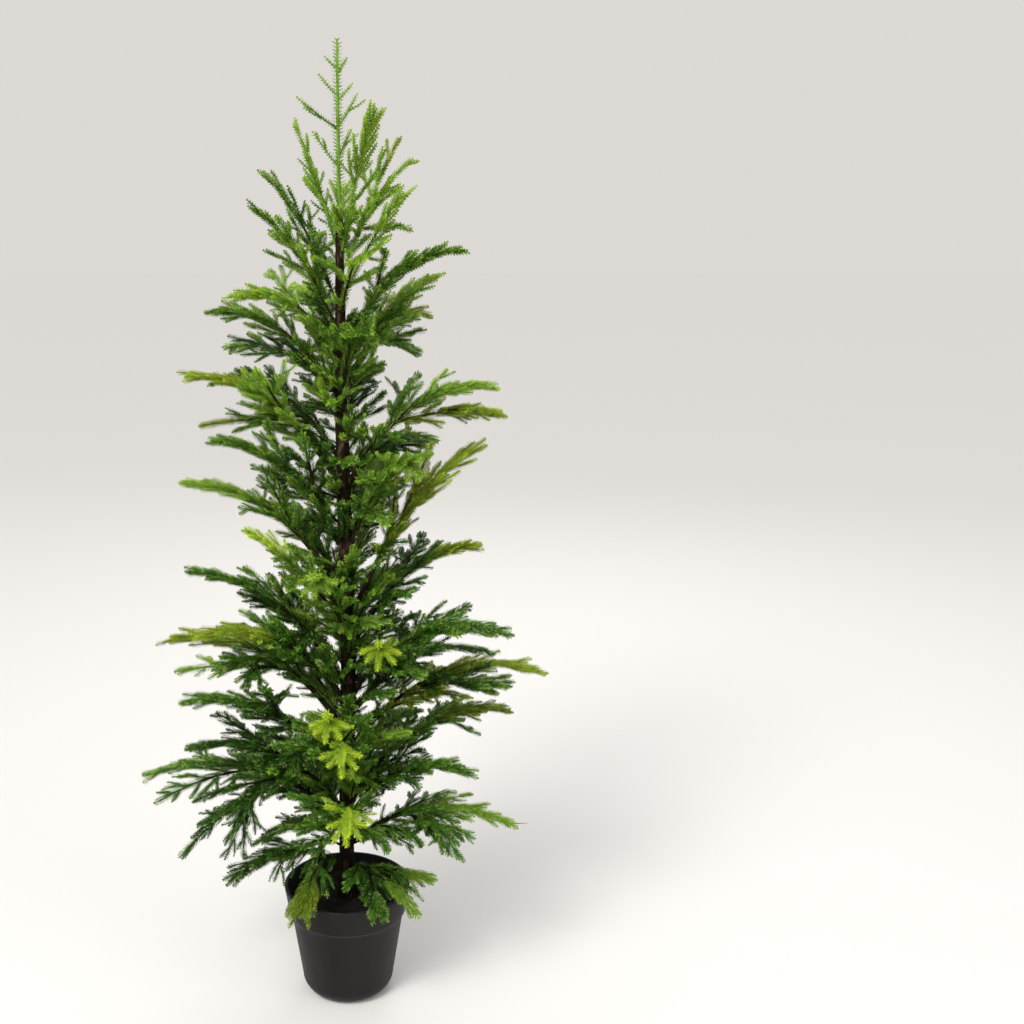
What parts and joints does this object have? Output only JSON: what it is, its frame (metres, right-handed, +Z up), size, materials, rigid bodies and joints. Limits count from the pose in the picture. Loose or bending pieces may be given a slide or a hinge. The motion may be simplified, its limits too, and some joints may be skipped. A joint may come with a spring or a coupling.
{
  "type": "artificial potted norfolk island pine",
  "caption": "Slim conical artificial norfolk island pine with tiers of arching needled boughs, standing in a round tapered black pot.",
  "frame": {"origin": "centre of the pot's flat underside, at floor level", "axes": "+Z up along the trunk, -Y towards the plant's front, +X to the right as seen from the front"},
  "size_m": [0.5356, 0.3897, 1.2192],
  "materials": {
    "pot_plastic": "satin charcoal-black moulded plastic",
    "pot_fill": "black ground cover over a cast weight",
    "bark": "rough brown bark",
    "bough_bark": "matt olive-brown bark",
    "needles": "soft satin green needles"
  },
  "bodies": {
    "root": {"bough_broad_2": "bough_bark", "bough_broad_5": "bough_bark", "bough_lower_1": "bough_bark", "bough_lower_2": "bough_bark", "bough_lower_5": "bough_bark", "bough_middle_1": "bough_bark", "bough_middle_4": "bough_bark", "bough_skirt_2": "bough_bark", "bough_skirt_4": "bough_bark", "fill": "pot_fill", "foliage_broad_1": "needles", "foliage_broad_2": "needles", "foliage_broad_3": "needles", "foliage_broad_4": "needles", "foliage_broad_5": "needles", "foliage_broad_6": "needles", "foliage_broad_7": "needles", "foliage_broad_8": "needles", "foliage_broad_9": "needles", "foliage_crown_1": "needles", "foliage_crown_2": "needles", "foliage_crown_3": "needles", "foliage_crown_4": "needles", "foliage_crown_5": "needles", "foliage_crown_6": "needles", "foliage_crown_7": "needles", "foliage_leader": "needles", "foliage_lower_1": "needles", "foliage_lower_2": "needles", "foliage_lower_3": "needles", "foliage_lower_4": "needles", "foliage_lower_5": "needles", "foliage_lower_6": "needles", "foliage_lower_7": "needles", "foliage_middle_1": "needles", "foliage_middle_2": "needles", "foliage_middle_3": "needles", "foliage_middle_4": "needles", "foliage_middle_5": "needles", "foliage_middle_6": "needles", "foliage_middle_7": "needles", "foliage_skirt_1": "needles", "foliage_skirt_10": "needles", "foliage_skirt_2": "needles", "foliage_skirt_3": "needles", "foliage_skirt_4": "needles", "foliage_skirt_5": "needles", "foliage_skirt_6": "needles", "foliage_skirt_7": "needles", "foliage_skirt_8": "needles", "foliage_skirt_9": "needles", "foliage_upper_1": "needles", "foliage_upper_2": "needles", "foliage_upper_3": "needles", "foliage_upper_4": "needles", "foliage_upper_5": "needles", "foliage_upper_6": "needles", "foliage_upper_7": "needles", "pot": "pot_plastic", "trunk": "bark"}
  },
  "joints": []
}
